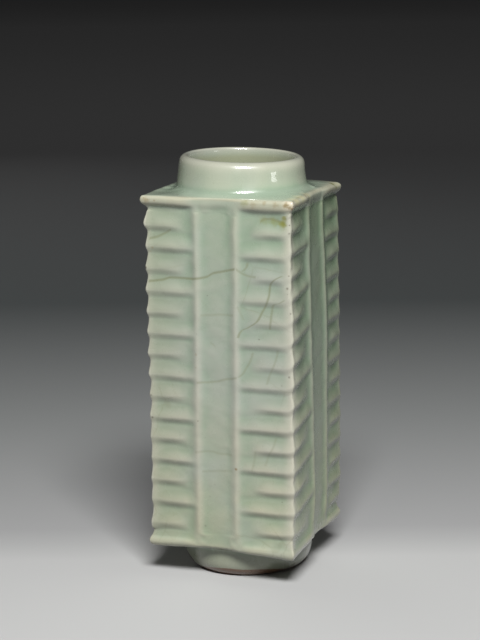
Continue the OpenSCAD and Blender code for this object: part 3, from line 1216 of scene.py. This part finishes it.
# %% Glaze for each piece
glazes = {
    "front_wall": celadon("celadon_front", 0.35, 0.08, HAIRLINES, FRONT_MARKS, (1, 0.1, 1)),
    # The right wall's glaze carries painted shade
    "right_wall": celadon("celadon_right", 0.12, 0.025, None, RIGHT_MARKS, (0.1, 1, 1), shaded_side=True),
    "shoulder": celadon("celadon_shoulder", 0.1, 0.015, None, SHOULDER_MARKS),
    "neck": celadon("celadon_neck", 0.06, 0.01, None, NECK_MARKS),
    "foot": celadon("foot_stoneware", 0.1, 0.08, bare_rim=True),
}
print("glazes", sorted(glazes), "and a plain one")


# %% Glaze of the inside
PALE_OLIVE = (0.30, 0.315, 0.225, 1)


def inside_celadon():
    recipe = Recipe("celadon_inside")
    cloudy = recipe.mix(recipe.stretch(recipe.noise(45, 4), 0.3, 0.7), OLIVE, PALE_OLIVE)
    rough = recipe.stretch(recipe.noise(110, 3), 0.3, 0.7, 0.25, 0.42)
    return recipe.finish(Base_Color=cloudy, Roughness=rough, Coat_Weight=0.6, Coat_Roughness=0.08)


inside_glaze = inside_celadon()
NODE_OF = {"neck": "neck_ring", "shoulder": "shoulder_slab", "base": "base_slab", "foot": "foot_ring"}
for label, obj in pieces.items():
    obj.data.materials.append(glazes.get(label, plain_glaze))
    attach(obj, "root")
    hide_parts(NODE_OF.get(label, label))
for name in frame["nodes"]:
    if "coil" in name:
        for slot in bpy.data.objects[name].material_slots:
            slot.material = inside_glaze
print("pieces", sorted(obj.name for obj in pieces.values()))

# %% [markdown]
# ## Floor
# The vase stands on a pale paper whose colour goes dark behind it. The paper is one large
# plane. Its colour darkens behind the vase, and far back, where little light falls, it is
# painted pale again as painted light. To the eye and in reflections it is pale, but it
# throws less light up at the vase than pale paper would, as in a dark studio, so the
# undersides stay dark.

# %% Lay the floor
deselect_all()
PAPER_SIZE, RAMP_LENGTH = 60, 8.0 / MM
bpy.ops.mesh.primitive_plane_add(size=PAPER_SIZE, location=(0, 0, 0))
floor = bpy.context.object
floor.name = "floor"
paper = Recipe("paper")
depth = paper.math("MULTIPLY_ADD", paper.axes["Y"], VIEW_COS, paper.times(paper.axes["X"], -VIEW_SIN))
# Pale by the vase, darker behind it, and painted pale far back as painted light, where the lamps hardly
# reach
paper_and_painted_light = paper.ramp(paper.math("DIVIDE", depth, RAMP_LENGTH), (
    (0.0, 0.428, 0.428, 0.423),
    (0.007, 0.318, 0.318, 0.318),
    (0.0425, 0.226, 0.233, 0.23),
    (0.105, 0.085, 0.092, 0.092),
    (0.275, 0.172, 0.172, 0.172),
    (0.81, 0.82, 0.82, 0.82),
))
dim_colour = paper.mix(1.0, paper_and_painted_light, (0.5, 0.5, 0.5, 1), "MULTIPLY")
rays = paper.add("ShaderNodeLightPath").outputs
mirrored = paper.math("MAXIMUM", rays["Is Glossy Ray"], rays["Is Transmission Ray"])
seen = paper.math("MAXIMUM", rays["Is Camera Ray"], mirrored)
floor.data.materials.append(paper.finish(Base_Color=paper.mix(seen, dim_colour, paper_and_painted_light),
                                         Roughness=0.95, Specular_IOR_Level=0.1))
print("floor laid")

# %% [markdown]
# ## Camera
# The photograph was taken from a little to the right of the front and a little above, with
# a long lens. The camera is set by those angles, its distance and its focal length.


# %% Set the camera
def direction(azimuth, elevation):
    """The way from the vase towards these angles, in degrees from the front and the floor."""
    angle, rise = math.radians(azimuth), math.radians(elevation)
    return Vector((math.sin(angle) * math.cos(rise), -math.cos(angle) * math.cos(rise), math.sin(rise)))


CAMERA_AZIMUTH, CAMERA_ELEVATION, CAMERA_ROLL = 20.54, 12.01, -0.715
CAMERA_DISTANCE = 1.1835
FOCAL_PIXELS, SHIFT_PIXELS, LONG_SIDE = 1887.5, 3.7, 640
AIM_ASIDE, AIM_HEIGHT = -2.9 * MM, 153.76 * MM
back = direction(CAMERA_AZIMUTH, CAMERA_ELEVATION)
level_right = direction(CAMERA_AZIMUTH + 90, 0)
turn = Matrix.Rotation(math.radians(CAMERA_ROLL), 3, back)
right = turn @ level_right
up = turn @ back.cross(level_right)
target = right * AIM_ASIDE + Vector((0, 0, AIM_HEIGHT))
lens = bpy.data.cameras.new("camera")
lens.sensor_width = 36
lens.lens = FOCAL_PIXELS / LONG_SIDE * lens.sensor_width
lens.shift_y = SHIFT_PIXELS / LONG_SIDE
camera = bpy.data.objects.new("camera", lens)
bpy.context.collection.objects.link(camera)
camera.matrix_world = (Matrix.Translation(target + CAMERA_DISTANCE * back)
                       @ Matrix((right, up, back)).transposed().to_4x4())
bpy.context.scene.camera = camera
print("focal length", round(lens.lens, 1), "mm")


# %% [markdown]
# ## Light
# One soft box above the camera, a small lamp to the right whose reflection stands on the
# neck, a wide dim one at the back left, so that the sides turned away keep their colour, and
# a dim room. The dim one leaves no reflection, because the photograph shows none. Their
# level is set so that the colours come out as they're written.

# %% Set the lights
LAMP_AIM = Vector((0, 0, 0.6 * RIM_Z))


def lamp(name, shape, azimuth, elevation, distance, watts, width, height, spread=180):
    place = LAMP_AIM + distance * direction(azimuth, elevation)
    light = bpy.data.lights.new(name, "AREA")
    light.shape = shape
    light.size = width
    light.size_y = height
    light.energy = watts
    light.spread = math.radians(spread)
    obj = bpy.data.objects.new(name, light)
    bpy.context.collection.objects.link(obj)
    obj.location = place
    obj.visible_camera = False
    obj.rotation_euler = (LAMP_AIM - place).to_track_quat("-Z", "Y").to_euler()
    return obj


lamp("soft_box", "RECTANGLE", azimuth=26, elevation=48, distance=1.8, watts=55.5, width=0.74, height=0.45)
lamp("small_lamp", "ELLIPSE", azimuth=80.5, elevation=11, distance=1.1, watts=0.36, width=0.22,
     height=0.095)
left_fill = lamp("left_fill", "RECTANGLE", azimuth=230, elevation=8, distance=2.4, watts=2.2, width=1.6,
                 height=0.6, spread=60)
left_fill.visible_glossy = False
world = bpy.data.worlds.new("room")
bpy.context.scene.world = world
world.use_nodes = True
room = world.node_tree.nodes["Background"].inputs
room["Color"].default_value = (0.5, 0.5, 0.5, 1)
room["Strength"].default_value = 0.02
bpy.context.scene.view_settings.view_transform = "Standard"
print("lamps set")
